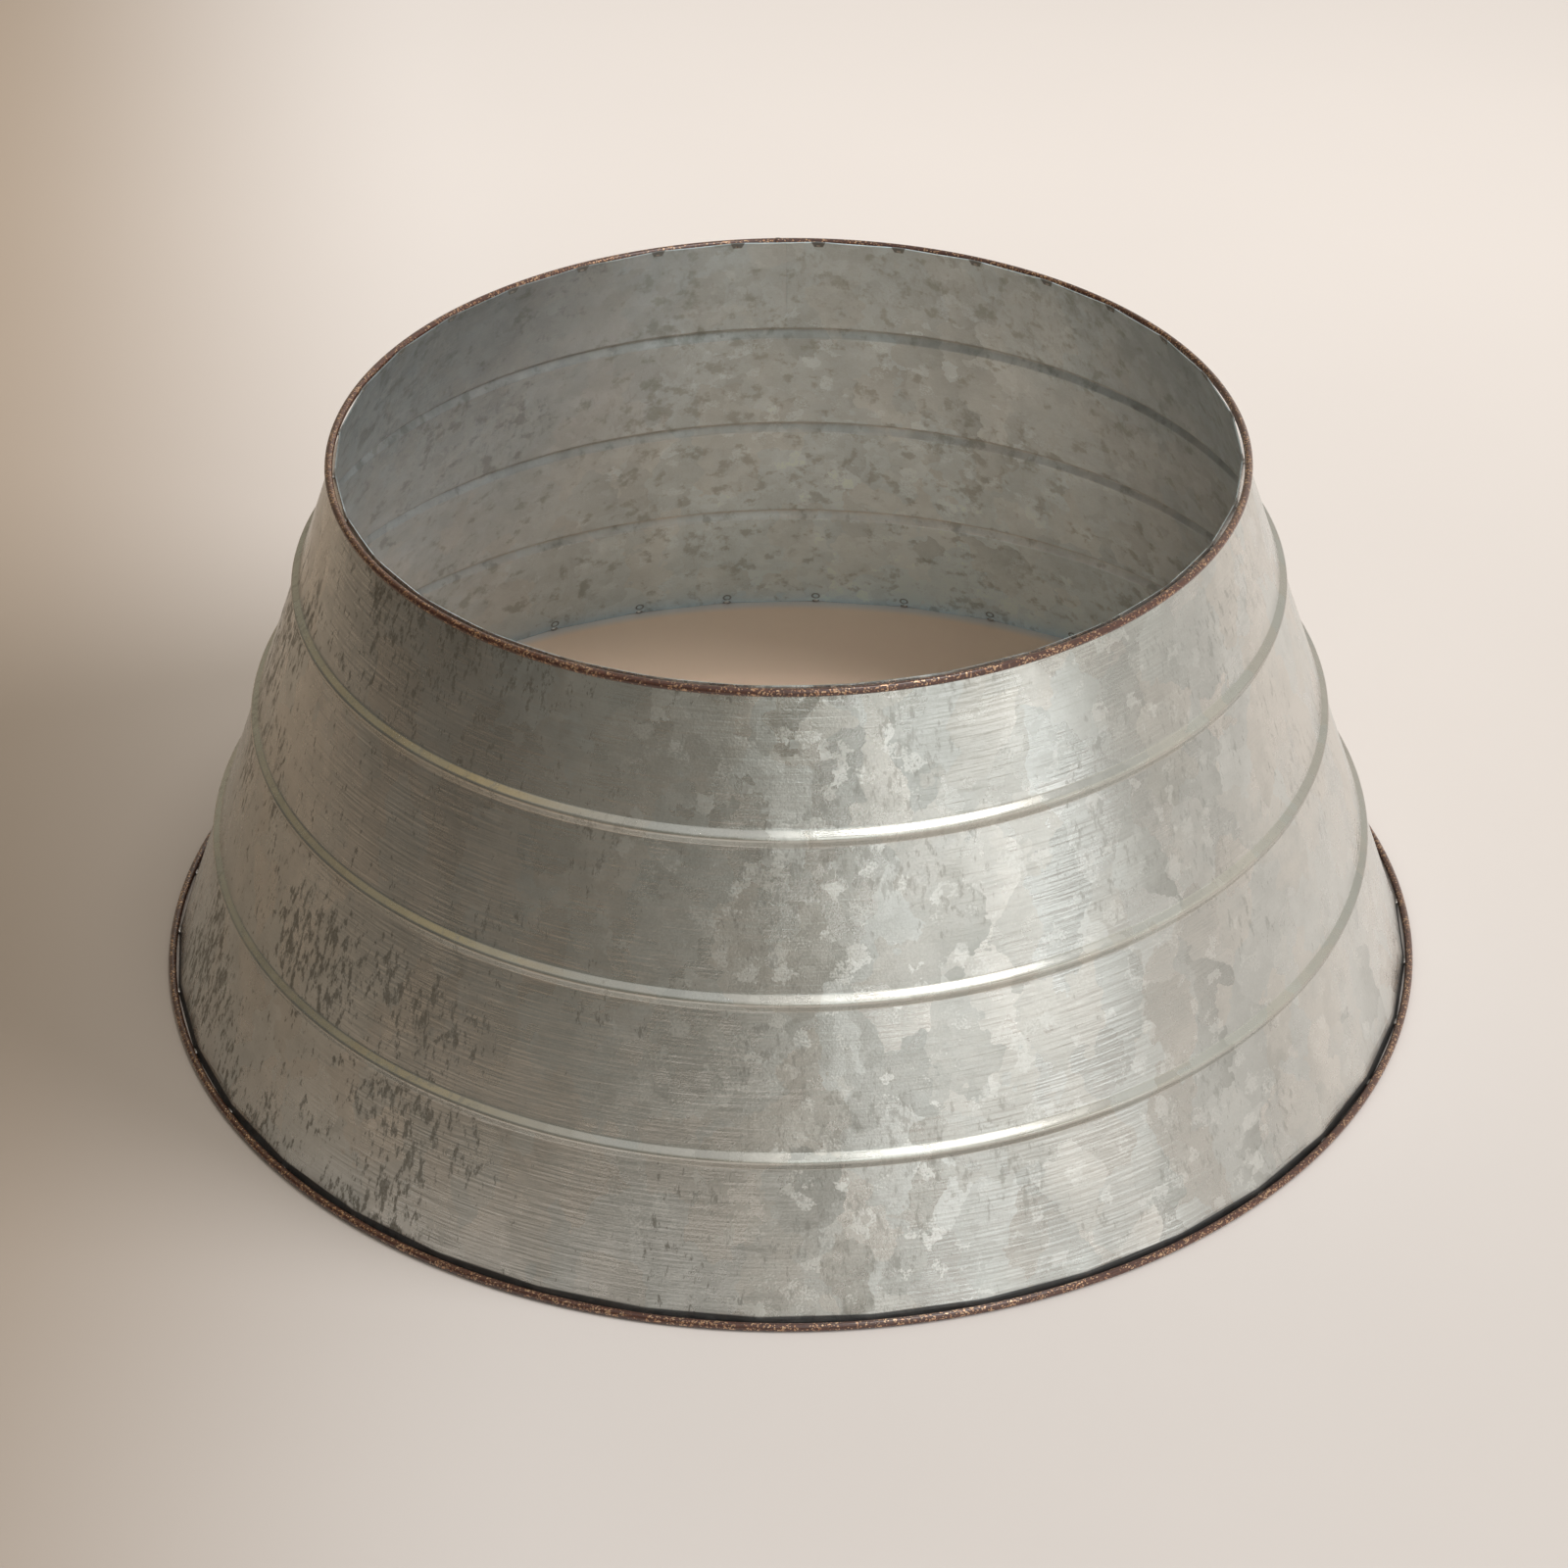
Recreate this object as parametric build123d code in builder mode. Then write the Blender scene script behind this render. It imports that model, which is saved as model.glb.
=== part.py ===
"""A tree collar: a cone of galvanised sheet with three rolled beads, open at both ends and
held round by a painted rod hoop at each rim. Millimetres, +Z up, with the origin on the
floor under the middle of the collar. The seam of the sheet faces +Y, the back."""

import os
from math import atan2, cos, degrees, hypot, sin

from build123d import *

# Overall sizes, measured over the hoops
base_diameter = 660.0
top_diameter = 457.0
collar_height = 290.0

# Hoops: rod bent to a ring, its two ends closed by a weld. The round of the rod is drawn
# with flats, one of which the collar stands on
rod_diameter = 4.0
rod_flat_count = 8
closing_weld_width = 3.0
closing_weld_crown = 0.3

# Sheet: it stands inside the hoops, at these level gaps from the rods
sheet_thickness = 0.6
base_hoop_gap = 1.7
top_hoop_gap = 0.65
sheet_edge_rise = 1.5
rim_trim = 4.0

# Beads, rolled outwards at these shares of the way up the slope between the hoops
bead_width = 8.4
bead_crest_width = 1.4
bead_height = 2.8
bead_place_shares = (0.262, 0.514, 0.771)

# Seam where the two ends of the sheet meet, in degrees round from +X
seam_direction = 90.0
seam_width = 1.6
seam_crown = 0.15

# Spot welds between sheet and rod, the first set back from the seam by a share of the pitch
weld_length = 5.0
weld_height = 1.6
base_weld_count = 38
top_weld_count = 32
base_weld_setback_share = 0.31
top_weld_setback_share = 0.39

# Worked out from the sizes above
rod_radius = rod_diameter / 2
base_hoop_radius = base_diameter / 2 - rod_radius
top_hoop_radius = top_diameter / 2 - rod_radius
base_hoop_level = rod_radius
top_hoop_level = collar_height - rod_radius
sheet_top_level = top_hoop_level + sheet_edge_rise
base_face_radius = base_hoop_radius - rod_radius - base_hoop_gap
top_face_radius = top_hoop_radius - rod_radius - top_hoop_gap
slope_run = base_face_radius - top_face_radius
slope_rise = top_hoop_level - base_hoop_level
slope_length = hypot(slope_run, slope_rise)
slope_tilt = atan2(slope_run, slope_rise)
seam_arc = degrees(seam_width / base_face_radius)
base_closing_arc = degrees(closing_weld_width / base_hoop_radius)
top_closing_arc = degrees(closing_weld_width / top_hoop_radius)

# Directions round the collar: each hoop is closed halfway between two spot welds
base_weld_pitch = 360 / base_weld_count
top_weld_pitch = 360 / top_weld_count
base_weld_start = seam_direction - base_weld_setback_share * base_weld_pitch
top_weld_start = seam_direction - top_weld_setback_share * top_weld_pitch
base_closing_start = base_weld_start + (base_weld_pitch - base_closing_arc) / 2
top_closing_start = top_weld_start + (top_weld_pitch - top_closing_arc) / 2

# A plane whose X runs up the sheet's outer face and whose Y points out of it
slope_plane = Plane(
    origin=(base_face_radius, 0, base_hoop_level),
    x_dir=(-sin(slope_tilt), 0, cos(slope_tilt)),
    z_dir=(0, 1, 0),
)


def turned(plane, direction):
    """A plane turned round the middle line of the collar, in degrees from +X."""
    return Plane(Rot(0, 0, direction) * plane.location)


def sheet_section(direction, crown=0):
    """The sheet cut across, with its beads, grown by a crown on both faces."""
    points = [(-rim_trim, 0)]
    for share in bead_place_shares:
        middle = share * slope_length
        points.append((middle - bead_width / 2, 0))
        points.append((middle - bead_crest_width / 2, bead_height))
        points.append((middle + bead_crest_width / 2, bead_height))
        points.append((middle + bead_width / 2, 0))
    points.append((slope_length + rim_trim, 0))
    with BuildSketch(turned(slope_plane, direction)) as section:
        with BuildLine():
            Polyline(*points)
            offset(amount=sheet_thickness, side=Side.RIGHT, kind=Kind.INTERSECTION)
        make_face()
        if crown:
            offset(amount=crown, kind=Kind.INTERSECTION)
    return section.sketch


def rod_section(direction, radius, level, crown=0):
    """The rod cut across, grown by a crown where it is welded."""
    with BuildSketch(turned(Plane.XZ, direction)) as section:
        with Locations((radius, level)):
            RegularPolygon(
                rod_radius + crown,
                rod_flat_count,
                major_radius=False,
                rotation=180 / rod_flat_count,
            )
    return section.sketch


def spot_weld(hoop_radius, gap, along):
    """A short run of weld metal at +X, which fills the gap between a rod and the sheet."""
    reach = rod_radius + gap
    rod_along = along - reach * sin(slope_tilt)
    rod_distance = reach * cos(slope_tilt)
    arc = degrees(weld_length / hoop_radius)
    with BuildPart() as weld:
        with BuildSketch(turned(slope_plane, -arc / 2)):
            with Locations((rod_along, rod_distance)):
                Rectangle(weld_height, rod_distance, align=(Align.CENTER, Align.MAX))
                RegularPolygon(
                    rod_radius,
                    rod_flat_count,
                    major_radius=False,
                    rotation=degrees(slope_tilt) + 180 / rod_flat_count,
                    mode=Mode.SUBTRACT,
                )
        revolve(axis=Axis.Z, revolution_arc=arc)
        split(bisect_by=Plane.XY, keep=Keep.TOP)
        split(bisect_by=Plane.XY.offset(sheet_top_level), keep=Keep.BOTTOM)
    return weld.part


# Wall: one sheet rolled to a cone, whose ends stop short of each other at the seam
with BuildPart() as wall_sheet:
    add(sheet_section(seam_direction + seam_arc / 2))
    revolve(axis=Axis.Z, revolution_arc=360 - seam_arc)
    split(bisect_by=Plane.XY, keep=Keep.TOP)
    split(bisect_by=Plane.XY.offset(sheet_top_level), keep=Keep.BOTTOM)
wall_sheet.part.label = "wall_sheet"

# Seam weld: a low strip that closes the sheet from rim to rim
with BuildPart() as seam_weld:
    add(sheet_section(seam_direction - seam_arc / 2, seam_crown))
    revolve(axis=Axis.Z, revolution_arc=seam_arc)
    split(bisect_by=Plane.XY, keep=Keep.TOP)
    split(bisect_by=Plane.XY.offset(sheet_top_level), keep=Keep.BOTTOM)
seam_weld.part.label = "seam_weld"

# Bottom hoop, on which the collar stands
with BuildPart() as bottom_hoop:
    add(rod_section(base_closing_start + base_closing_arc, base_hoop_radius, base_hoop_level))
    revolve(axis=Axis.Z, revolution_arc=360 - base_closing_arc)
bottom_hoop.part.label = "bottom_hoop"

# Top hoop
with BuildPart() as top_hoop:
    add(rod_section(top_closing_start + top_closing_arc, top_hoop_radius, top_hoop_level))
    revolve(axis=Axis.Z, revolution_arc=360 - top_closing_arc)
top_hoop.part.label = "top_hoop"

# Closing weld of the bottom hoop, dressed level with the rod underneath
with BuildPart() as bottom_hoop_closing_weld:
    add(
        rod_section(
            base_closing_start, base_hoop_radius, base_hoop_level, closing_weld_crown
        )
    )
    revolve(axis=Axis.Z, revolution_arc=base_closing_arc)
    split(bisect_by=Plane.XY, keep=Keep.TOP)
bottom_hoop_closing_weld.part.label = "bottom_hoop_closing_weld"

# Closing weld of the top hoop, dressed level with the rod on top
with BuildPart() as top_hoop_closing_weld:
    add(rod_section(top_closing_start, top_hoop_radius, top_hoop_level, closing_weld_crown))
    revolve(axis=Axis.Z, revolution_arc=top_closing_arc)
    split(bisect_by=Plane.XY.offset(collar_height), keep=Keep.BOTTOM)
top_hoop_closing_weld.part.label = "top_hoop_closing_weld"

# Spot welds round the bottom hoop
base_weld = spot_weld(base_hoop_radius, base_hoop_gap, 0)
with BuildPart() as bottom_hoop_spot_welds:
    with PolarLocations(0, base_weld_count, start_angle=base_weld_start):
        add(base_weld)
bottom_hoop_spot_welds.part.label = "bottom_hoop_spot_welds"

# Spot welds round the top hoop
top_weld = spot_weld(top_hoop_radius, top_hoop_gap, slope_length)
with BuildPart() as top_hoop_spot_welds:
    with PolarLocations(0, top_weld_count, start_angle=top_weld_start):
        add(top_weld)
top_hoop_spot_welds.part.label = "top_hoop_spot_welds"

os.makedirs("parts", exist_ok=True)
export_step(wall_sheet.part, "parts/wall_sheet.step")
export_step(seam_weld.part, "parts/seam_weld.step")
export_step(bottom_hoop.part, "parts/bottom_hoop.step")
export_step(top_hoop.part, "parts/top_hoop.step")
export_step(bottom_hoop_closing_weld.part, "parts/bottom_hoop_closing_weld.step")
export_step(top_hoop_closing_weld.part, "parts/top_hoop_closing_weld.step")
export_step(bottom_hoop_spot_welds.part, "parts/bottom_hoop_spot_welds.step")
export_step(top_hoop_spot_welds.part, "parts/top_hoop_spot_welds.step")
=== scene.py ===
import math

import bmesh
import bpy
from mathutils import Matrix, Vector, noise


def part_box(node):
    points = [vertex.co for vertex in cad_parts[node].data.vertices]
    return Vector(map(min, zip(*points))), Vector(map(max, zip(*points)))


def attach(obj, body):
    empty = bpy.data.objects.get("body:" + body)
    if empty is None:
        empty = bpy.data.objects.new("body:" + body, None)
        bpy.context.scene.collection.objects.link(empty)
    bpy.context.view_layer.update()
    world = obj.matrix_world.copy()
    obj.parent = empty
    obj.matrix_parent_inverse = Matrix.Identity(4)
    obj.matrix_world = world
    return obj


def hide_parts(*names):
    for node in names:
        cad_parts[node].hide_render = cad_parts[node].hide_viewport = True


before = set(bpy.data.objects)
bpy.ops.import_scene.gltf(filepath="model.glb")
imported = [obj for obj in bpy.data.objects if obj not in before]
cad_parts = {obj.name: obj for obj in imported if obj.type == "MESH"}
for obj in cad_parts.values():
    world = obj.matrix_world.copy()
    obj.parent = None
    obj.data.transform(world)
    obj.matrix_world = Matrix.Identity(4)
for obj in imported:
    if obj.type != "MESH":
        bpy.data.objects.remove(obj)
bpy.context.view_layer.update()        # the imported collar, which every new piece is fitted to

print("frame loaded:", len(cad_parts), "nodes")


# the collar's sizes, in metres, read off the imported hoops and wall
baseLow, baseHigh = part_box("bottom_hoop")
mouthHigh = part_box("top_hoop")[1]
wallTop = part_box("wall_sheet")[1].z
rodHalf = (baseHigh.z - baseLow.z) / 2           # half the rod's thickness
baseRing = baseHigh.x - rodHalf                  # to the rod's middle
mouthRing = mouthHigh.x - rodHalf
baseLevel = baseLow.z + rodHalf
mouthLevel = mouthHigh.z - rodHalf
mergeDistance = 0.00002

wall = {
    "baseGap": 0.0017,                           # level gaps between rods and sheet
    "mouthGap": 0.00065,
    "gauge": 0.0006,
    "beadShares": (0.262, 0.514, 0.771),         # up the slope, from hoop to hoop
    "beadWidth": 0.0084,
    "crestWidth": 0.0014,
    "beadHeight": 0.0028,
    "footRounding": 0.00040,                     # of a bead's corners
    "crestRounding": 0.00066,
    "cornerSegments": 3,
    "guard": 0.00095,                            # rows that keep the flanks flat
    "rimRows": (0.0012, 0.003, 0.006, 0.010, 0.015, 0.021),    # from either rim
    "fieldRows": 2,                              # between two beads
    "footRise": 0.00025,                         # the cut edge clears the floor
    "steps": 512,
    "drawReach": 0.022,                          # how far from a rim the welds pull the sheet
    "baseDraw": 0.0010,
    "mouthDraw": 0.0009,
    "mouthSlack": 0.00055,                       # the upper edge falls back between its welds
    "wave": 0.00022,                             # hand-rolled sheet is never quite even
    "waveScale": 9.0,
    "waveReach": 0.03,                           # but lies still at its rims
}

# the welds are spaced evenly from the first, in degrees from +X toward the seam at the back
baseWelds = {"count": 38, "first": 87.063, "length": 0.0052, "height": 0.0016}
mouthWelds = {"count": 32, "first": 85.613, "length": 0.0048, "height": 0.0016}

baseFace = baseRing - rodHalf - wall["baseGap"]
mouthFace = mouthRing - rodHalf - wall["mouthGap"]
slopeTilt = math.atan2(baseFace - mouthFace, mouthLevel - baseLevel)
slopeLength = math.hypot(baseFace - mouthFace, mouthLevel - baseLevel)
footAlong = (wall["footRise"] - baseLevel) / math.cos(slopeTilt)
lipAlong = (wallTop - baseLevel) / math.cos(slopeTilt)


def onSlope(along, out=0.0):                     # a point of the sheet's outer face, at +X
    return Vector((
        baseFace - along * math.sin(slopeTilt) + out * math.cos(slopeTilt),
        0.0,
        baseLevel + along * math.cos(slopeTilt) + out * math.sin(slopeTilt),
    ))


def offSheet(turn):                              # straight out of the sheet
    level = math.cos(slopeTilt)
    return Vector((math.cos(turn) * level, math.sin(turn) * level, math.sin(slopeTilt)))


def weldPull(turn, welds):                       # 1 at a weld, 0 midway between two
    share = ((math.degrees(turn) - welds["first"]) * welds["count"] / 360) % 1
    return (2 * share - 1) ** 2


def ease(share):
    share = min(max(share, 0.0), 1.0)
    return share * share * (3 - 2 * share)


def spinRound(bm, steps, angle=None):            # all the way, closed on itself, or in part
    bmesh.ops.spin(
        bm, geom=bm.verts[:] + bm.edges[:], cent=(0, 0, 0), axis=(0, 0, 1),
        angle=angle or 2 * math.pi, steps=steps, use_merge=not angle, use_duplicate=False)
    if not angle:
        bmesh.ops.remove_doubles(bm, verts=bm.verts, dist=mergeDistance)


def keepInside(bm):                              # nothing goes under the floor or past the top
    for vert in bm.verts:
        vert.co.z = min(max(vert.co.z, baseLow.z), mouthHigh.z)


def settle(piece, slot, *nodes):                 # hangs a piece from the root and hides the nodes it stands in for
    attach(piece, "root")
    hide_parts(*nodes)


def asObject(bm, name, finish, sharpAngle=35):
    mesh = bpy.data.meshes.new(name)
    bm.to_mesh(mesh)
    bm.free()
    mesh.polygons.foreach_set("use_smooth", [True] * len(mesh.polygons))
    mesh.set_sharp_from_angle(angle=math.radians(sharpAngle))
    mesh.materials.append(finish)
    piece = bpy.data.objects.new(name, mesh)
    bpy.context.scene.collection.objects.link(piece)
    return piece


# finishes: shader maths written as sums
class Wire:                                      # one output socket
    def __init__(self, finish, socket):
        self.finish = finish
        self.socket = socket

    def maths(self, operation, other=None, swap=False):
        pair = (other, self) if swap else (self, other)
        return self.finish.node(
            "ShaderNodeMath", {"operation": operation},
            {place: value for place, value in enumerate(pair) if value is not None})

    def __add__(self, other): return self.maths("ADD", other)
    def __radd__(self, other): return self.maths("ADD", other, True)
    def __sub__(self, other): return self.maths("SUBTRACT", other)
    def __rsub__(self, other): return self.maths("SUBTRACT", other, True)
    def __mul__(self, other): return self.maths("MULTIPLY", other)
    def __rmul__(self, other): return self.maths("MULTIPLY", other, True)
    def __truediv__(self, other): return self.maths("DIVIDE", other)
    def __pow__(self, other): return self.maths("POWER", other)


class Finish:                                    # one material, or the world, and its nodes
    def __init__(self, owner):
        self.owner = owner
        owner.use_nodes = True
        self.tree = owner.node_tree
        self.tree.nodes.clear()

    def node(self, kind, settings=None, inputs=None, out=0):
        made = self.tree.nodes.new(kind)
        for name, value in (settings or {}).items():
            setattr(made, name, value)
        for name, value in (inputs or {}).items():
            if isinstance(value, Wire):
                self.tree.links.new(value.socket, made.inputs[name])
            else:
                made.inputs[name].default_value = value
        return Wire(self, made.outputs[out]) if made.outputs else made

    def place(self):                             # metres, in the collar's own frame
        return self.node("ShaderNodeTexCoord", out="Object")

    def sister(self, wire, name):                # another output of the same node
        return Wire(self, wire.socket.node.outputs[name])

    def parts(self, vector):
        first = self.node("ShaderNodeSeparateXYZ", inputs={0: vector})
        return [self.sister(first, name) for name in "XYZ"]

    def cloud(self, vector, scale, detail=3.0, rough=0.55, out=0):
        return self.node("ShaderNodeTexNoise", inputs={
            "Vector": vector, "Scale": scale, "Detail": detail, "Roughness": rough}, out=out)

    def crystals(self, vector, scale):           # each with its own random colour
        return self.node("ShaderNodeTexVoronoi", inputs={
            "Vector": vector, "Scale": scale, "Randomness": 1.0}, out="Color")

    def between(self, value, low, high, first=0.0, last=1.0):    # eased, and held at the ends
        return self.node("ShaderNodeMapRange", {"interpolation_type": "SMOOTHSTEP"}, {
            "Value": value, "From Min": low, "From Max": high, "To Min": first, "To Max": last})

    def mix(self, share, first, last):
        return self.node("ShaderNodeMix", {"data_type": "RGBA"}, {
            0: share,                            # 6 and 7 are its two colours
            6: first if isinstance(first, Wire) else (*first, 1.0),
            7: last if isinstance(last, Wire) else (*last, 1.0)}, out=2)

    def vector(self, operation, first, other=None, scale=None):
        inputs = {0: first}
        if other is not None:
            inputs[1] = other
        if scale is not None:
            inputs["Scale"] = scale
        out = "Value" if operation == "DOT_PRODUCT" else "Vector"
        return self.node("ShaderNodeVectorMath", {"operation": operation}, inputs, out)

    def leaning(self, colour):                   # a random colour as a vector to any side
        return self.vector("SUBTRACT", colour, (0.5, 0.5, 0.5))

    def shaken(self, vector, reach, scale, detail, rough):    # moved about at random
        aside = self.leaning(self.cloud(vector, scale, detail, rough, out=1))
        return self.vector("ADD", vector, self.vector("SCALE", aside, scale=reach))

    def bump(self, height, strength, distance, normal=None):
        inputs = {"Height": height, "Strength": strength, "Distance": distance}
        if normal is not None:
            inputs["Normal"] = normal
        return self.node("ShaderNodeBump", inputs=inputs)

    def surface(self, **inputs):
        shader = self.node("ShaderNodeBsdfPrincipled", inputs={
            name.replace("_", " "): value for name, value in inputs.items()})
        self.node("ShaderNodeOutputMaterial", inputs={"Surface": shader})
        return self.owner


zinc = {
    "light": (0.685, 0.705, 0.69),
    "warm": (0.71, 0.70, 0.665),
    "shade": (0.385, 0.395, 0.375),
    # painted light: the inner face is made brighter and cooler, to offset the warm light inside
    "inside": (1.14, 1.32, 1.48),                # a cooler cast on the inner face
    "rolled": (1.0, 0.985, 0.95),                # and a warmer one on the beads
    # painted shade: a dark band at the foot of the outer face, beside the rod
    "edge": (0.055, 0.055, 0.06),                # the lower rim, behind the rod
    "stain": (0.13, 0.115, 0.085),
    "smudge": (0.19, 0.19, 0.155),
    # partly lighter crystals and partly painted glints
    "glintFleck": (0.84, 0.85, 0.83),
    "mark": (0.11, 0.105, 0.095),
    "leaf": 42.0,                                # big crystals per metre
    "leafBend": 0.030,                           # how far their outlines wander
    "leafDraw": 0.52,                            # under 1, so they are longer upward
    "chip": 135.0,                               # small crystals per metre
    "chipBend": 0.012,
    "streakDraw": 0.28,
    "ripple": 640.0,                             # fine lines from the rolling, per metre
    "rippleDraw": 0.05,
    "dentUp": 0.0032,                            # from the rod's middle to a weld's dent
    "markTaper": 0.4,
    "relief": 0.00025,
    "zones": {                                   # a bearing, in degrees round from the front,
        "leafy": (26, 0.80, 0.955),              # and the cosines off it where a zone begins
        "gritty": (-2, 0.93, 0.985),             # and is full
        # painted light: the side toward the key is painted paler
        "keyLitSide": (88, 0.72, 0.98),
        "sooty": (-62, 0.78, 0.95),
        "leftEnd": (-112, 0.45, 0.96),           # of the inner face, as seen from the front
        "rightEnd": (103, 0.72, 0.98),
    },
    "clouds": {                                  # scale per metre, layers and roughness
        "leafBend": (58.0, 3.0, 0.50),
        "chipBend": (190.0, 4.0, 0.60),
        "leafy": (4.5, 2.0, 0.55),
        "patch": (16.0, 4.0, 0.60),
        "mottle": (46.0, 8.0, 0.66),
        "grain": (900.0, 3.0, 0.65),
        "streaks": (280.0, 7.0, 0.70),
        "crowd": (13.0, 3.0, 0.55),
        "smudge": (88.0, 6.0, 0.62),
    },
    "masks": {                                   # the values where a mask begins and is full
        "inner": (0.0, -0.02),
        "rubbed": (0.0046, 0.0038),              # metres from a bead's middle
        "edge": (0.0034, 0.0025),                # metres above the rod's middle
        "leafy": (0.54, 0.66),
        "patch": (0.42, 0.60),
        "crowd": (0.42, 0.60),
        "warmth": (0.25, 0.80),
        "glintFleck": (0.86, 0.96),
        "stain": (0.63, 0.72),
        "smudge": (0.56, 0.67),
        "dent": (0.0030, 0.0022),                # metres, as are the next three
        "dentRing": (0.0012, 0.0020),
        "markSide": (0.0042, 0.0034),
        "markFoot": (0.0040, 0.0032),
    },
    "amounts": {                                 # everywhere, then more for each mask in turn
        # its second amount is painted light on the side toward the key
        "tone": (0.62, 0.36),                    # 0 is the shade and 1 the light
        # painted light and shade: the inner face is lighter low down and darker toward the mouth
        "insideTone": (0.36, -2.3, 1.6),
        "leafTone": (0.08, 0.20),
        "leafShade": (0.14, 0.42),
        "chipTone": (0.06, 0.09, 0.12),
        "mottle": (0.75, -0.35),
        "grain": (0.35, 0.45),
        "glintFleck": (0.0, 0.35, 0.40),
        # painted shade on the inner face at its left and right ends
        "leftEndShade": (0.28, 1.1),
        "rightEndShade": (0.50, -0.75),
        "leafTilt": (0.014, 0.034),
        "chipTilt": (0.02, 0.02, 0.028, 0.08),
        "sand": (0.35, 0.8),
        "roughness": (0.23, 0.05, 0.07, 0.14, 0.25, 0.2, -0.03, 0.18),
        "metal": (0.95, -0.40, -0.35, -0.3),
    },
}


def zincSheet(name):
    finish = Finish(bpy.data.materials.new(name))
    place = finish.place()
    x, y, z = finish.parts(place)
    radius = (x * x + y * y) ** 0.5
    turn = y.maths("ARCTAN2", x)
    up = (z - baseLevel) * (1 / math.cos(slopeTilt))

    def cloud(kind):
        return finish.cloud(place, *zinc["clouds"][kind])

    def mask(kind, value):
        return finish.between(value, *zinc["masks"][kind])

    def zone(kind):
        bearing, begin, full = zinc["zones"][kind]
        side = math.radians(bearing)
        return finish.between((x * math.sin(side) - y * math.cos(side)) / radius, begin, full)

    def amount(kind, *masks):
        total, *more = zinc["amounts"][kind]
        for share, under in zip(more, masks):
            total = total + under * share
        return total

    # the outer face is brighter than the inner one, which keeps its dull skin
    facing = finish.node("ShaderNodeNewGeometry", out="Normal")
    facingX, facingY = finish.parts(facing)[:2]
    inner = mask("inner", facingX * x + facingY * y)
    outer = 1.0 - inner

    # the beads are rubbed smooth by the rolls
    rubbed = 0.0
    for share in wall["beadShares"]:
        rubbed = rubbed + mask("rubbed", (up - share * slopeLength).maths("ABSOLUTE"))
    bead = rubbed * outer

    # where the coat froze in large leaves or in sandy grit, where it is sooty, and the side toward
    # the key, which is painted paler as painted light
    leafy = zone("leafy").maths("MAXIMUM", mask("leafy", cloud("leafy") + y * 0.3))
    gritty, sooty, leftEnd, rightEnd = map(zone, ("gritty", "sooty", "leftEnd", "rightEnd"))
    keyLitSide = zone("keyLitSide") * outer
    patch, crowd = mask("patch", cloud("patch")), mask("crowd", cloud("crowd"))
    mottle, grain = cloud("mottle") - 0.5, cloud("grain")

    # big crystals, each shaded from one side to the other, and small chips between them
    jagged = finish.shaken(place, zinc["leafBend"], *zinc["clouds"]["leafBend"])
    jagged = finish.vector("MULTIPLY", jagged, (1.0, 1.0, zinc["leafDraw"]))
    leaf = finish.crystals(jagged, zinc["leaf"])
    leafTone, leafTint, leafGloss = finish.parts(leaf)
    leafLean = finish.leaning(leaf)
    acrossLeaf = finish.vector("SUBTRACT", jagged, finish.sister(leaf, "Position"))
    leafShade = finish.vector("DOT_PRODUCT", acrossLeaf, leafLean) * zinc["leaf"]
    ragged = finish.shaken(place, zinc["chipBend"], *zinc["clouds"]["chipBend"])
    chip = finish.crystals(ragged, zinc["chip"])
    chipTone, _, chipGloss = finish.parts(chip)
    chipLean = finish.leaning(chip)

    # the coat, from shade to light, with its bright flecks, partly lighter crystals and partly
    # painted glints
    tone = (leafTone - 0.5) * amount("leafTone", leafy) + leafShade * amount("leafShade", leafy)
    tone = tone + (chipTone - 0.5) * amount("chipTone", patch, inner)
    tone = tone + mottle * amount("mottle", leafy) + (grain - 0.5) * amount("grain", gritty)
    # painted light: the tone is raised on the side toward the key
    tone = tone * (1.0 - rubbed * 0.4) + amount("tone", keyLitSide)
    # painted light and shade: the inner face is lighter low down and darker toward the mouth
    tone = tone + inner * amount("insideTone", z, rubbed * mottle)
    warmth = mask("warmth", leafTint + mottle * 0.8)
    colour = finish.mix(tone, zinc["shade"], finish.mix(warmth, zinc["light"], zinc["warm"]))
    glintFleck = mask("glintFleck", chipGloss + (grain - 0.5) * 0.6)
    glintFleck = glintFleck * amount("glintFleck", leafy, gritty) * (1.0 - rubbed)
    colour = finish.mix(glintFleck, colour, zinc["glintFleck"])

    # dark streaks outside, soft smudges inside
    drawn = finish.vector("MULTIPLY", place, (1.0, 1.0, zinc["streakDraw"]))
    streaks = finish.cloud(drawn, *zinc["clouds"]["streaks"])
    stain = mask("stain", streaks + crowd * 0.11 + sooty * 0.055) * (0.30 + grain * 0.85)
    for under, less in ((leafy, 0.6), (inner, 0.75), (rubbed, 0.6), (keyLitSide, 0.7)):
        stain = stain * (1.0 - under * less)
    colour = finish.mix(stain, colour, zinc["stain"])
    smudge = mask("smudge", cloud("smudge") + crowd * 0.04) * inner
    colour = finish.mix(smudge * 0.42, colour, zinc["smudge"])

    # painted shade darkens the inner face at either end, a painted cast of light makes it brighter
    # and cooler, and the beads are warmer
    endShade = leftEnd * amount("leftEndShade", z) + rightEnd * amount("rightEndShade", z)
    colour = finish.vector("SCALE", colour, scale=1.0 - endShade * inner)
    # painted light: a brighter, cooler cast on the inner face
    cast = inner * (1.0 - rubbed * 0.7) * (1.0 - leftEnd * 0.45)
    colour = finish.mix(cast, colour, finish.vector("MULTIPLY", colour, zinc["inside"]))
    # painted shade: a dark band at the foot of the outer face, beside the rod
    edge = mask("edge", up) * outer
    colour = finish.mix(edge * 0.85, colour, zinc["edge"])
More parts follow.
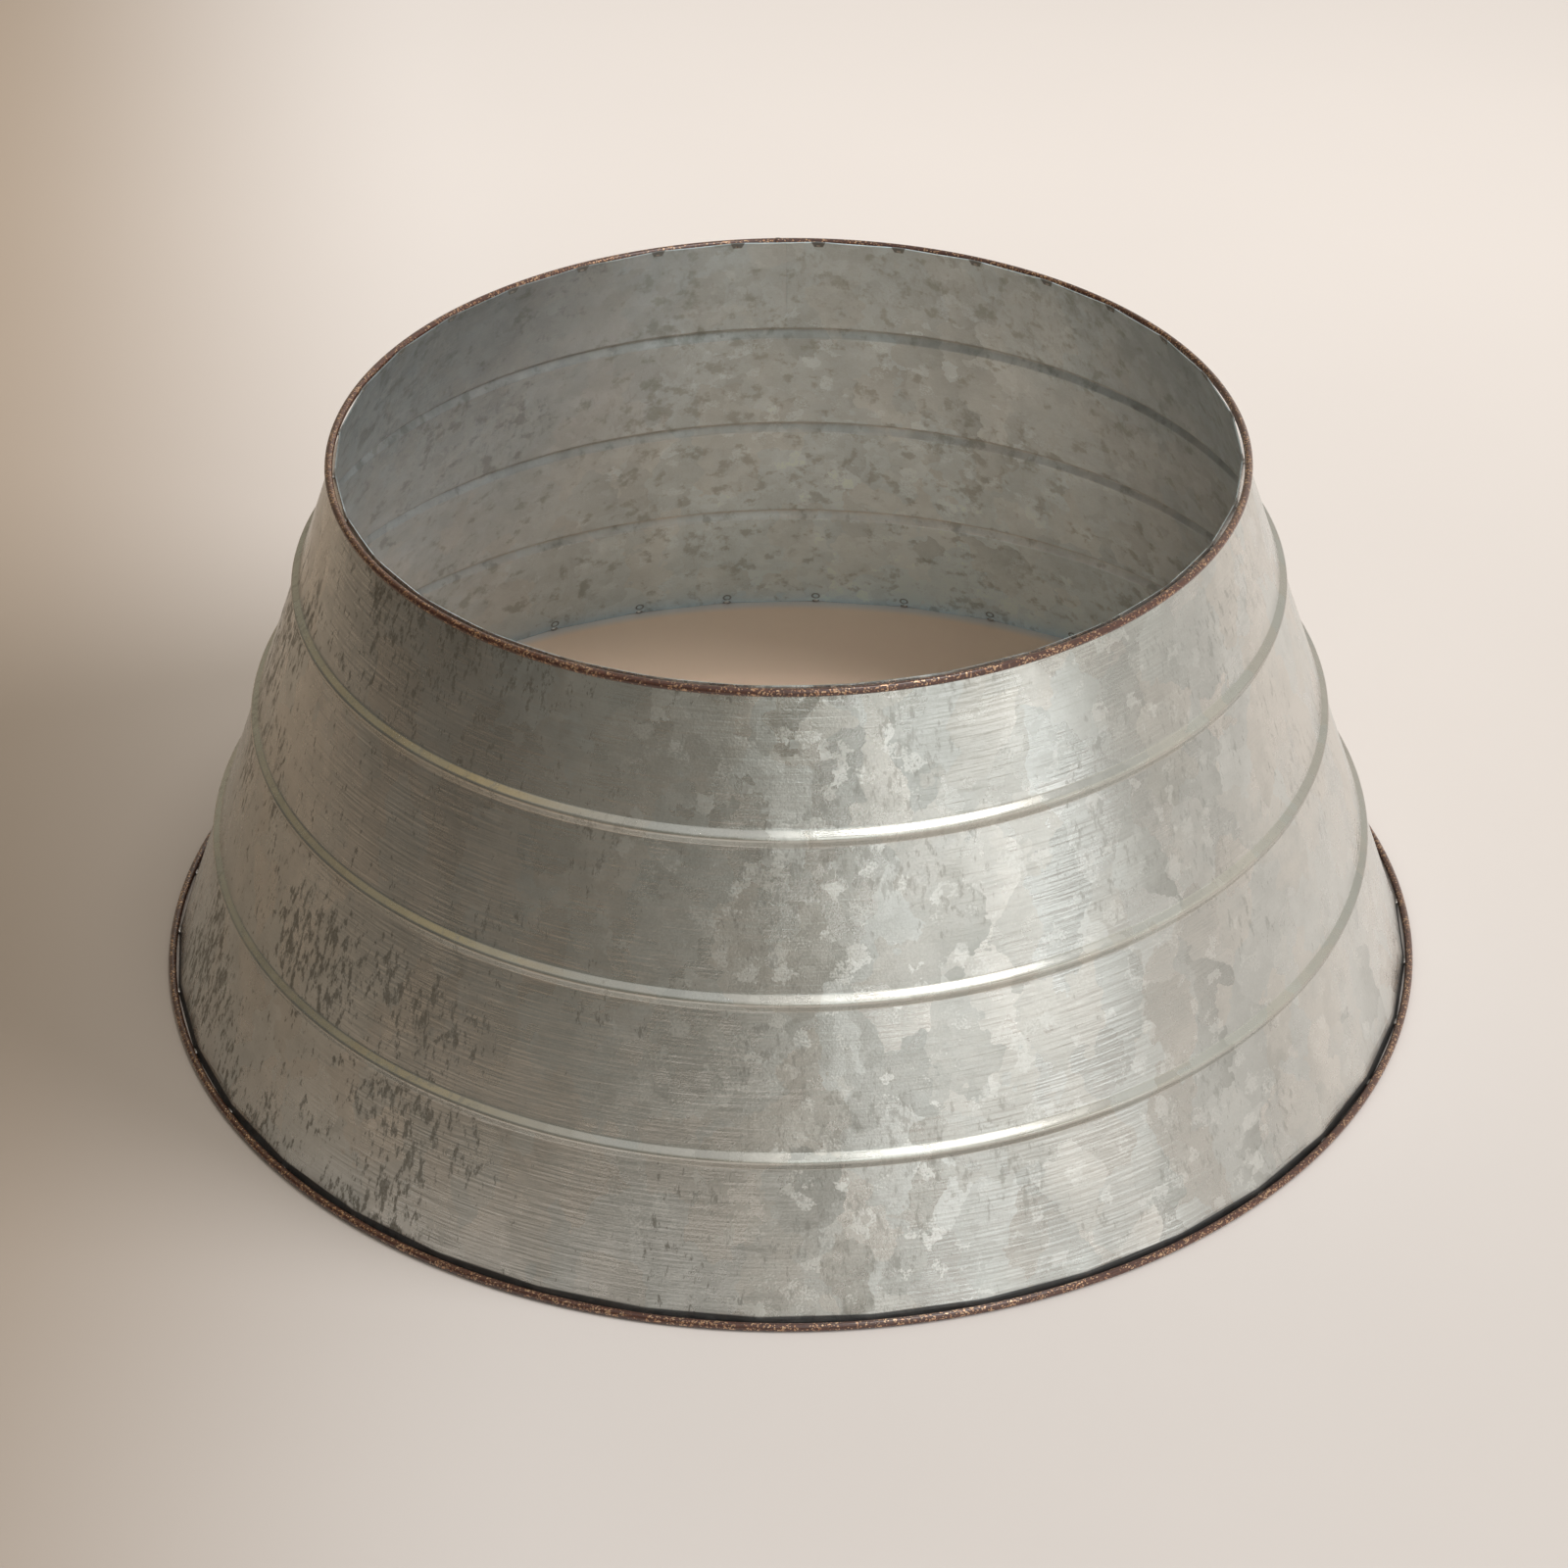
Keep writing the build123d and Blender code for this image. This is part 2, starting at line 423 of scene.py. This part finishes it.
    # painted shade: the beads are darker on the side toward the key
    colour = finish.vector("SCALE", colour, scale=1.0 - bead * keyLitSide * 0.35)
    colour = finish.mix(bead, colour, finish.vector("MULTIPLY", colour, zinc["rolled"]))

    # inside, the welds left ringed dents at the foot and burnt wedges under the upper edge
    def acrossWeld(welds):
        pitch = 2 * math.pi / welds["count"]
        first = math.radians(welds["first"]) - pitch / 2
        return ((turn - first).maths("FLOORED_MODULO", pitch) - pitch / 2) * radius

    acrossBase, upDent = acrossWeld(baseWelds), up - zinc["dentUp"]
    fromDent = (acrossBase * acrossBase + upDent * upDent) ** 0.5
    dent = mask("dent", fromDent) * inner
    belowLip = lipAlong - up
    fromMark = acrossWeld(mouthWelds).maths("ABSOLUTE") + belowLip * zinc["markTaper"]
    mark = mask("markSide", fromMark) * mask("markFoot", belowLip) * inner
    marks = dent * mask("dentRing", fromDent) * 0.75 + mark * 0.85
    colour = finish.mix(marks, colour, zinc["mark"])

    # each crystal leans its own way and catches other light, least where it is rubbed
    loose = 1.0 - bead * 0.85
    leafTilt = amount("leafTilt", leafy) * loose
    chipTilt = amount("chipTilt", patch, gritty, inner) * loose
    facet = finish.vector("ADD", facing, finish.vector("SCALE", leafLean, scale=leafTilt))
    facet = finish.vector("ADD", facet, finish.vector("SCALE", chipLean, scale=chipTilt))
    facet = finish.vector("NORMALIZE", facet)
    along = finish.vector("MULTIPLY", place, (zinc["rippleDraw"], zinc["rippleDraw"], 1.0))
    relief = finish.cloud(along, zinc["ripple"], 1.5) * 1.5 + grain * amount("sand", gritty)
    relief = relief * (1.0 - rubbed * 0.7) - dent * 2.0

    return finish.surface(
        Base_Color=colour,
        Metallic=amount("metal", inner, stain, marks),
        Roughness=amount(
            "roughness", chipGloss, leafGloss, inner, stain, edge, rubbed, rubbed * inner),
        Normal=finish.bump(relief, 0.5, zinc["relief"], facet))


paint = {
    "body": (0.078, 0.023, 0.011),
    "deep": (0.040, 0.012, 0.007),
    "copper": (0.40, 0.20, 0.11),
    "gold": (0.62, 0.43, 0.27),
    "specks": 1400.0,                            # per metre
    "clumps": 140.0,
    "pits": 900.0,
    "relief": 0.00022,
    "gloss": 0.7,                                # the clear coat
}


def hoopPaint(name):
    finish = Finish(bpy.data.materials.new(name))
    place = finish.place()
    tone, tint, depth = finish.parts(finish.crystals(place, paint["specks"]))
    clumps = finish.cloud(place, paint["clumps"], 4.0)
    speck = finish.between(tone + (clumps - 0.5) * 1.1, 0.75, 0.88)
    flake = finish.mix(tint, paint["copper"], paint["gold"])
    body = finish.mix(depth, paint["deep"], paint["body"])
    pits = finish.cloud(place, paint["pits"])
    normal = finish.bump(pits * 0.6 + speck * 0.5, 0.45, paint["relief"])
    return finish.surface(
        Base_Color=finish.mix(speck, body, flake), Metallic=speck * 0.85,
        Roughness=0.36 - speck * 0.06, Coat_Weight=paint["gloss"], Coat_Roughness=0.12,
        Normal=normal)


weldSkin = {
    "burnt": (0.16, 0.13, 0.11),
    "bright": (0.62, 0.60, 0.57),
    "grain": 700.0,
    "relief": 0.0003,
}


def weldMetal(name):
    finish = Finish(bpy.data.materials.new(name))
    skin = finish.cloud(finish.place(), weldSkin["grain"])
    return finish.surface(
        Base_Color=finish.mix(skin, weldSkin["burnt"], weldSkin["bright"]), Metallic=0.9,
        Roughness=0.18 + skin * 0.25, Normal=finish.bump(skin, 0.5, weldSkin["relief"]))


zincFinish = zincSheet("galvanised sheet")
paintFinish = hoopPaint("speckled hoop paint")
weldFinish = weldMetal("weld metal")
print("finishes made")


# wall: the sheet's outer line, spun round and given its thickness
def flatRows(first, last):                       # rows of a plain stretch, without its ends
    step = (last - first) / (wall["fieldRows"] + 1)
    return [(first + step * (row + 1), 0.0, None) for row in range(wall["fieldRows"])]


def sheetLine(bm):                               # each station is along, out and its rounding
    halfFoot, halfCrest = wall["beadWidth"] / 2, wall["crestWidth"] / 2
    run, height, guard = halfFoot - halfCrest, wall["beadHeight"], wall["guard"]
    near = guard / math.hypot(run, height)       # share of the flank beside a corner
    flank = [                                    # of a bead, in to its crest
        (halfFoot + guard, 0.0, None),
        (halfFoot, 0.0, "footRounding"),
        (halfFoot - run * near, height * near, None),
        (halfCrest + run * near, height * (1 - near), None),
        (halfCrest, height, "crestRounding"),
    ]
    foot = [footAlong] + [footAlong + row for row in wall["rimRows"]]
    lip = [lipAlong - row for row in reversed(wall["rimRows"])] + [lipAlong]

    stations = [(along, 0.0, None) for along in foot]
    last = foot[-1]
    for share in wall["beadShares"]:
        middle = share * slopeLength
        stations += flatRows(last, middle - halfFoot)
        stations += [(middle - aside, out, rounding) for aside, out, rounding in flank]
        stations += [(middle + aside, out, rounding) for aside, out, rounding in reversed(flank)]
        last = middle + halfFoot
    stations += flatRows(last, lip[0]) + [(along, 0.0, None) for along in lip]

    points = [bm.verts.new(onSlope(along, out)) for along, out, rounding in stations]
    for first, second in zip(points, points[1:]):
        bm.edges.new((first, second))
    for kind in ("footRounding", "crestRounding"):
        corners = [point for point, station in zip(points, stations) if station[2] == kind]
        bmesh.ops.bevel(
            bm, geom=corners, offset=wall[kind], segments=wall["cornerSegments"],
            profile=0.5, affect="VERTICES", material=-1)


def faceOutward(bm):
    bmesh.ops.recalc_face_normals(bm, faces=bm.faces)
    bm.faces.ensure_lookup_table()
    probe = bm.faces[0]
    if probe.normal.dot(probe.calc_center_median()) < 0:
        bmesh.ops.reverse_faces(bm, faces=bm.faces)


def whereOnSheet(point):                         # round, and up the slope
    inward = baseFace - math.hypot(point.x, point.y)
    rise = point.z - baseLevel
    return (
        math.atan2(point.y, point.x),
        rise * math.cos(slopeTilt) + inward * math.sin(slopeTilt))


def pullToWelds(bm):
    for vert in bm.verts:
        turn, along = whereOnSheet(vert.co)
        aboveFoot, belowLip = along - footAlong, lipAlong - along
        atFoot = wall["baseDraw"] * weldPull(turn, baseWelds)
        atLip = wall["mouthDraw"] * weldPull(turn, mouthWelds) - wall["mouthSlack"]
        free = ease(aboveFoot / wall["waveReach"]) * ease(belowLip / wall["waveReach"])
        push = atFoot * ease(1 - aboveFoot / wall["drawReach"])
        push += atLip * ease(1 - belowLip / wall["drawReach"])
        push += wall["wave"] * free * noise.noise(vert.co * wall["waveScale"])
        vert.co += offSheet(turn) * push


def makeWall():
    bm = bmesh.new()
    sheetLine(bm)
    spinRound(bm, wall["steps"])
    faceOutward(bm)
    pullToWelds(bm)
    bm.normal_update()
    bmesh.ops.solidify(bm, geom=bm.faces[:], thickness=wall["gauge"])
    piece = asObject(bm, "rolled_wall", zincFinish)
    settle(piece, "galvanised_sheet", "wall_sheet")
    return piece


wallPiece = makeWall()
print("wall:", len(wallPiece.data.polygons), "faces")


# seam: a dressed strip up the back, on both faces
seam = {
    "turn": 90.0,
    "width": 0.0016,
    "crown": 0.00015,
    "fall": 0.8,                                 # the share of its crown gone at its sides
    "steps": 6,
}


def makeSeam():
    bm = bmesh.new()
    sheetLine(bm)
    middle = math.radians(seam["turn"])
    half = seam["width"] / 2 / baseFace
    bmesh.ops.rotate(
        bm, verts=bm.verts, cent=(0, 0, 0), matrix=Matrix.Rotation(middle - half, 3, "Z"))
    spinRound(bm, seam["steps"], 2 * half)
    faceOutward(bm)
    pullToWelds(bm)
    for vert in bm.verts:
        share = (whereOnSheet(vert.co)[0] - middle) / half
        vert.co += offSheet(middle) * seam["crown"] * (1 - seam["fall"] * share * share)
    bm.normal_update()
    bmesh.ops.solidify(bm, geom=bm.faces[:], thickness=wall["gauge"] + 2 * seam["crown"])
    piece = asObject(bm, "seam_strip", zincFinish)
    settle(piece, "galvanised_sheet", "seam_weld")
    return piece


seamPiece = makeSeam()
print("seam:", len(seamPiece.data.polygons), "faces")


# hoops, with their closing welds
hoops = (
    {"name": "base_hoop", "node": "bottom_hoop", "ring": baseRing, "level": baseLevel,
     "steps": 384, "welds": baseWelds},
    {"name": "mouth_hoop", "node": "top_hoop", "ring": mouthRing, "level": mouthLevel,
     "steps": 320, "welds": mouthWelds},
)
rodRound = {"sides": 20, "sharpAngle": 60}
closing = {
    "width": 0.003,
    "crown": 0.0003,
    "tuck": 0.00002,                             # its ends lie just under the paint
    "steps": 8,
}


def rodSection(bm, hoop, turn=0.0):
    stand = Matrix.Translation((hoop["ring"], 0, hoop["level"]))
    stand = Matrix.Rotation(turn, 4, "Z") @ stand @ Matrix.Rotation(math.pi / 2, 4, "X")
    bmesh.ops.create_circle(bm, segments=rodRound["sides"], radius=rodHalf, matrix=stand)


def makeHoop(hoop):
    bm = bmesh.new()
    rodSection(bm, hoop)
    spinRound(bm, hoop["steps"])
    bmesh.ops.recalc_face_normals(bm, faces=bm.faces)
    piece = asObject(bm, hoop["name"], paintFinish, rodRound["sharpAngle"])
    settle(piece, "hoop_paint", hoop["node"])


def makeClosing(hoop):                           # midway between the first weld and the next
    welds, ring = hoop["welds"], hoop["ring"]
    middle = math.radians(welds["first"]) + math.pi / welds["count"]
    half = closing["width"] / 2 / ring
    bm = bmesh.new()
    rodSection(bm, hoop, middle - half)
    spinRound(bm, closing["steps"], 2 * half)
    for vert in bm.verts:
        turn = math.atan2(vert.co.y, vert.co.x)
        heart = Vector((math.cos(turn) * ring, math.sin(turn) * ring, hoop["level"]))
        share = min(1.0, abs(turn - middle) / half)
        swell = closing["crown"] * math.sqrt(max(0.0, 1 - share * share)) - closing["tuck"]
        vert.co = heart + (vert.co - heart) * (1 + swell / rodHalf)
    keepInside(bm)
    ends = [edge for edge in bm.edges if edge.is_boundary]
    bmesh.ops.holes_fill(bm, edges=ends, sides=rodRound["sides"])
    bmesh.ops.recalc_face_normals(bm, faces=bm.faces)
    piece = asObject(bm, hoop["name"] + "_closing_weld", paintFinish, rodRound["sharpAngle"])
    settle(piece, "hoop_paint", hoop["node"] + "_closing_weld")


for hoop in hoops:
    makeHoop(hoop)
    makeClosing(hoop)
print("hoops made")


# spot welds: a drop of metal in the gap between rod and sheet
drop = {
    "sides": 10,
    "rings": 6,
    "proud": 0.0004,
    "depth": 0.75,                               # shares of the gap and of half the height
    "rise": 1.25,
    "uneven": 0.18,
    "sharpAngle": 80,
}


def makeDrops(name, node, welds, ring, along, gap):
    bm = bmesh.new()
    heart = onSlope(along - (rodHalf + gap) * math.sin(slopeTilt), gap / 2)
    depth = gap * drop["depth"] + drop["proud"]
    for number in range(welds["count"]):
        turn = math.radians(welds["first"] + 360 * number / welds["count"])
        chance = noise.noise(Vector((number * 1.7, ring * 40, 3.1)))    # any fixed place will do
        swell = (1 + drop["uneven"] * chance) / 2
        body = Matrix.Diagonal((
            depth, welds["length"] * swell, welds["height"] * drop["rise"] * swell, 1))
        spot = Matrix.Rotation(turn, 4, "Z") @ Matrix.Translation(heart)
        bmesh.ops.create_uvsphere(
            bm, u_segments=drop["sides"], v_segments=drop["rings"], radius=1.0,
            matrix=spot @ Matrix.Rotation(-slopeTilt, 4, "Y") @ body)
    keepInside(bm)
    bmesh.ops.recalc_face_normals(bm, faces=bm.faces)
    piece = asObject(bm, name, weldFinish, drop["sharpAngle"])
    settle(piece, "weld_metal", node)


makeDrops(
    "base_weld_drops", "bottom_hoop_spot_welds", baseWelds, baseRing, 0.0, wall["baseGap"])
makeDrops(
    "mouth_weld_drops", "top_hoop_spot_welds", mouthWelds, mouthRing, slopeLength,
    wall["mouthGap"])
print("welds made")


# floor, light and camera
floor = {
    "size": 14.0,
    "colour": (0.85, 0.785, 0.743),
    # painted shade: the floor is darker toward the left, along a slanting edge
    "shady": (0.455, 0.36, 0.278),               # at the left
    "shadyReach": (-0.50, -0.10),
    "shadyLean": 0.14,                           # its edge runs a little aslant
    "shadyBend": (-0.15, -0.5, 0.0, 0.06),       # and turns away toward the camera
    # painted shade: the floor is warmer inside the collar
    "warm": (0.96, 0.72, 0.55),                  # inside the collar
    "warmEdge": 0.97,
    # painted shade: darker toward the camera, far off and further to the left
    "near": (-0.5, 1.0, 0.76, 1.0),              # from and to, and the brightness at both
    "far": (0.9, 2.6, 1.0, 0.62),
    "farLeft": (-0.55, -1.5, 1.0, 0.5),
    "clouding": 0.04,
    "grain": 900.0,
    "relief": 0.0002,
}


def makeFloor():
    finish = Finish(bpy.data.materials.new("studio floor"))
    place = finish.place()
    x, y = finish.parts(place)[:2]
    radius = (x * x + y * y) ** 0.5
    # painted shade: darker to the left, toward the camera and far off
    across = x + y * floor["shadyLean"] + finish.between(y, *floor["shadyBend"])
    shade = finish.mix(
        finish.between(across, *floor["shadyReach"]), floor["shady"], floor["colour"])
    level = finish.between(y, *floor["near"]) + (finish.cloud(place, 3.0) - 0.5) * floor["clouding"]
    level = level * finish.between(radius, *floor["far"])
    level = level * finish.between(across, *floor["farLeft"])
    shade = finish.vector("SCALE", shade, scale=level)
    # painted shade: warmer inside the collar
    warmShadeInside = finish.between(radius, baseFace, baseFace * floor["warmEdge"])
    grain = finish.cloud(place, floor["grain"], 2.0)
    material = finish.surface(
        Base_Color=finish.mix(warmShadeInside, shade, floor["warm"]),
        Roughness=0.75 + grain * 0.1, Normal=finish.bump(grain, 0.1, floor["relief"]))
    bm = bmesh.new()
    bmesh.ops.create_grid(bm, x_segments=2, y_segments=2, size=floor["size"] / 2)
    ground = asObject(bm, "studio_floor", material)


# lights and washes are placed by a bearing, in degrees round from the front, and a height,
# in degrees up from the floor
sun = {
    "bearing": 78,
    "height": 29,
    "distance": 3,
    "spread": 30,
    "strength": 2.45,
    "tint": (0.94, 0.96, 1.0),
}

lamps = (
    {"name": "overhead box", "bearing": 76, "height": 75.5, "distance": 5.0,
     "size": (1.2, 1.7), "radiance": 8.6, "tint": (1.0, 0.985, 0.965)},
    {"name": "well light", "bearing": 0, "height": 90, "distance": 2.0,
     "size": (0.2, 0.2), "radiance": 1.0, "tint": (1.0, 0.98, 0.95),
     "aim": (0, 0, mouthLevel), "fan": 12},
    {"name": "front panel", "bearing": 36, "height": 3, "distance": 2.3,
     "size": (2.2, 0.44), "radiance": 1.30, "tint": (0.94, 0.98, 1.0)},
    {"name": "front softbox", "bearing": 14, "height": 28, "distance": 2.6,
     "size": (1.6, 1.0), "radiance": 1.15, "tint": (0.92, 0.98, 1.0)},
    {"name": "bead card", "bearing": 27, "height": 52, "distance": 2.6,
     "size": (1.7, 0.8), "radiance": 1.4, "tint": (1.0, 0.99, 0.98), "card": True},
)

surroundings = {
    "colour": (0.33, 0.295, 0.225),
    "washes": (                                  # bearing, height, reach and colour
        (110, 30, 80, (0.80, 0.765, 0.69)),
        (0, 90, 55, (0.52, 0.51, 0.49)),
        (-116, 44, 32, (0.46, 0.36, 0.20)),
        (-52, 8, 58, (0.215, 0.205, 0.175)),     # the dim corner left of the camera
        (-95, 8, 50, (0.11, 0.10, 0.083)),
    ),
}


def heading(bearing, height):
    side, level = math.radians(bearing), math.radians(height)
    return Vector((
        math.cos(level) * math.sin(side), -math.cos(level) * math.cos(side), math.sin(level)))


def hang(lamp, bearing, height, distance, aim=(0, 0, 0)):
    light = bpy.data.objects.new(lamp.name, lamp)
    light.location = Vector(aim) + distance * heading(bearing, height)
    light.rotation_euler = heading(bearing, height).to_track_quat("Z", "Y").to_euler()
    bpy.context.scene.collection.objects.link(light)
    return light


def makeSun():
    lamp = bpy.data.lights.new("key", "SUN")
    lamp.energy = sun["strength"]
    lamp.angle = math.radians(sun["spread"])
    lamp.color = sun["tint"]
    light = hang(lamp, sun["bearing"], sun["height"], sun["distance"])
    light.visible_glossy = False                 # or it draws hard lines along the beads


def makeLight(name, bearing, height, distance, size, radiance, tint,
              aim=(0, 0, 0.12), fan=180, card=False):
    lamp = bpy.data.lights.new(name, "AREA")
    lamp.shape = "RECTANGLE"
    lamp.size, lamp.size_y = size
    lamp.energy = radiance * math.pi * size[0] * size[1]
    lamp.spread = math.radians(fan)
    lamp.color = tint
    light = hang(lamp, bearing, height, distance, aim)
    light.visible_camera = False
    light.visible_glossy = fan == 180            # a narrow one is not seen in the metal
    light.visible_diffuse = not card             # and a card is seen only there


def makeSurroundings():
    world = bpy.data.worlds.new("studio")
    bpy.context.scene.world = world
    room = Finish(world)
    look = room.node("ShaderNodeTexCoord", out="Generated")
    colour = surroundings["colour"]
    for bearing, height, reach, shade in surroundings["washes"]:
        aside = room.vector("DOT_PRODUCT", look, heading(bearing, height))
        reach = math.radians(reach)
        colour = room.mix(room.between(aside, math.cos(reach), math.cos(reach / 2)), colour, shade)
    glow = room.node("ShaderNodeBackground", inputs={"Color": colour})
    room.node("ShaderNodeOutputWorld", inputs={"Surface": glow})


shot = {
    "lens": 90.2,                                # millimetres, as is the sensor
    "sensor": 36.0,
    "pitch": 34.0,
    "roll": -0.30,
    "distance": 2.055,
    "target": (-0.0031, 0.0, 0.0861),
}


def makeCamera():
    eye = bpy.data.cameras.new("view")
    eye.lens = shot["lens"]
    eye.sensor_width = shot["sensor"]
    eye.dof.use_dof = False
    camera = bpy.data.objects.new("view", eye)
    pitch, roll = math.radians(shot["pitch"]), math.radians(shot["roll"])
    stand = Vector(shot["target"]) + shot["distance"] * heading(0, shot["pitch"])
    spin = Matrix.Rotation(math.pi / 2 - pitch, 4, "X") @ Matrix.Rotation(roll, 4, "Z")
    camera.matrix_world = Matrix.Translation(stand) @ spin
    bpy.context.scene.collection.objects.link(camera)
    bpy.context.scene.camera = camera


makeFloor()
makeSun()
for lamp in lamps:
    makeLight(**lamp)
makeSurroundings()
makeCamera()
bpy.context.scene.view_settings.view_transform = "Standard"
print("studio made")
